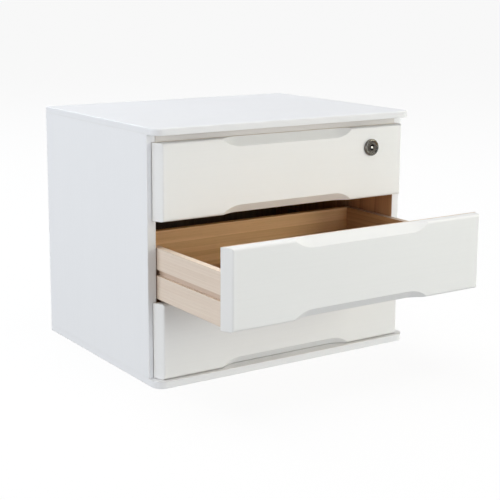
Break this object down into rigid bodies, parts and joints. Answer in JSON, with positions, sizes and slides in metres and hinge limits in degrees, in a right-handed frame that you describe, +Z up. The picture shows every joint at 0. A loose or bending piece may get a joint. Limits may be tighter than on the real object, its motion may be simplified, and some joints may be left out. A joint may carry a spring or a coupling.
{
  "type": "desktop file drawer",
  "caption": "Small white desktop cabinet with drawers on wooden runners, finger scoops along the fronts' edges and a round key lock in the top front.",
  "frame": {"origin": "centre of the cabinet's footprint, on the surface it stands on", "axes": "+X to the right, +Y to the back, +Z up; the drawers open towards -Y"},
  "size_m": [0.388, 0.4445, 0.314],
  "materials": {
    "white_paint": "satin white paint on board",
    "front_paint": "satin white paint on board",
    "back_board": "thin board, painted",
    "drawer_wood": "bare light wood",
    "bottom_board": "bare thin plywood",
    "runner_wood": "bare hardwood, waxed",
    "dowel_wood": "bare wood",
    "screw_steel": "zinc plated",
    "lock_chrome": "polished, slightly dark",
    "lock_plug_chrome": "polished",
    "cam_steel": "zinc plated"
  },
  "bodies": {
    "cabinet": {"top_panel": "white_paint", "base_panel": "white_paint", "left_side_panel": "white_paint", "right_side_panel": "white_paint", "back_panel": "back_board", "top_rail": "white_paint", "rail_dowels": "dowel_wood", "top_dowels": "dowel_wood", "base_dowels": "dowel_wood", "runner_screws": "screw_steel", "left_top_runner": "runner_wood", "right_top_runner": "runner_wood", "left_middle_runner": "runner_wood", "right_middle_runner": "runner_wood", "left_bottom_runner": "runner_wood", "right_bottom_runner": "runner_wood"},
    "top_drawer": {"top_drawer_front": "front_paint", "top_drawer_left_side": "drawer_wood", "top_drawer_right_side": "drawer_wood", "top_drawer_back": "drawer_wood", "top_drawer_bottom": "bottom_board", "top_drawer_dowels": "dowel_wood", "top_drawer_screws": "screw_steel", "top_drawer_brads": "screw_steel", "lock_body": "lock_chrome", "lock_nut": "lock_chrome"},
    "middle_drawer": {"middle_drawer_front": "front_paint", "middle_drawer_left_side": "drawer_wood", "middle_drawer_right_side": "drawer_wood", "middle_drawer_back": "drawer_wood", "middle_drawer_bottom": "bottom_board", "middle_drawer_dowels": "dowel_wood", "middle_drawer_screws": "screw_steel", "middle_drawer_brads": "screw_steel"},
    "bottom_drawer": {"bottom_drawer_front": "front_paint", "bottom_drawer_left_side": "drawer_wood", "bottom_drawer_right_side": "drawer_wood", "bottom_drawer_back": "drawer_wood", "bottom_drawer_bottom": "bottom_board", "bottom_drawer_dowels": "dowel_wood", "bottom_drawer_screws": "screw_steel", "bottom_drawer_brads": "screw_steel"},
    "lock": {"lock_plug": "lock_plug_chrome", "lock_cam": "cam_steel", "lock_cam_screw": "screw_steel"}
  },
  "joints": [
    {"name": "top_drawer_slide", "type": "slide", "parent": "cabinet", "child": "top_drawer", "axis": [0, -1, 0], "range_m": [0, 0.2]},
    {"name": "middle_drawer_slide", "type": "slide", "parent": "cabinet", "child": "middle_drawer", "axis": [0, -1, 0], "range_m": [-0.1495, 0.0505]},
    {"name": "bottom_drawer_slide", "type": "slide", "parent": "cabinet", "child": "bottom_drawer", "axis": [0, -1, 0], "range_m": [0, 0.2]},
    {"name": "lock_turn", "type": "hinge", "parent": "top_drawer", "child": "lock", "pos_m": [0.1302, -0.145, 0.2691], "axis": [0, 1, 0], "range_deg": [0, 90]}
  ]
}
